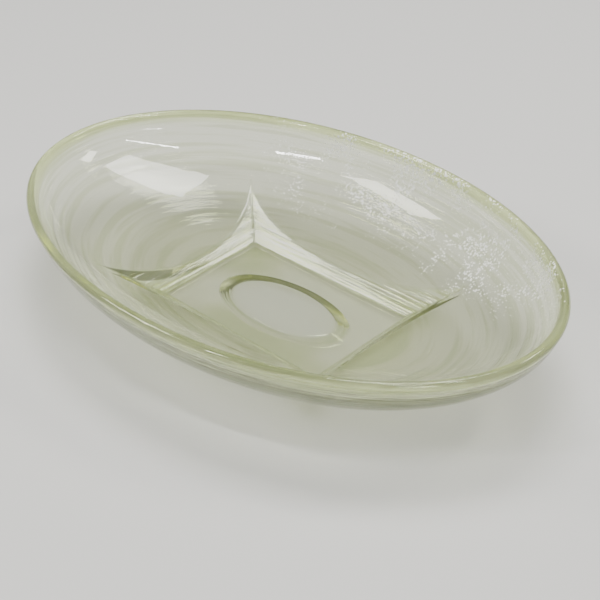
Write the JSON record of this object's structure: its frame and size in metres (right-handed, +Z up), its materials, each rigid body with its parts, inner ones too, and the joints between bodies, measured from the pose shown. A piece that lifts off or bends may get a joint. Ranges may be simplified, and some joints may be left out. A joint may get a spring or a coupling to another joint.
{
  "type": "oval glass dish",
  "caption": "Shallow oval pressed-glass dish with a flat rectangular well, four creases running up its bowl and a rounded rim, for serving or display",
  "frame": {"origin": "Middle of the foot, on the surface that the dish stands on.", "axes": "+Z up. +X along the length of the oval, +Y across it. The dish is the same about both upright middle planes."},
  "size_m": [0.26, 0.156, 0.044],
  "materials": {
    "rim_glass": "fire-polished, thick, pale yellow-green",
    "wall_glass": "clear pressed glass with a pale yellow-green tint",
    "floor_glass": "clear pressed glass with a pale yellow-green tint"
  },
  "bodies": {
    "root": {"rim": "rim_glass", "side_wall_front": "wall_glass", "side_wall_back": "wall_glass", "end_wall_left": "wall_glass", "end_wall_right": "wall_glass", "well_floor": "floor_glass"}
  },
  "joints": []
}
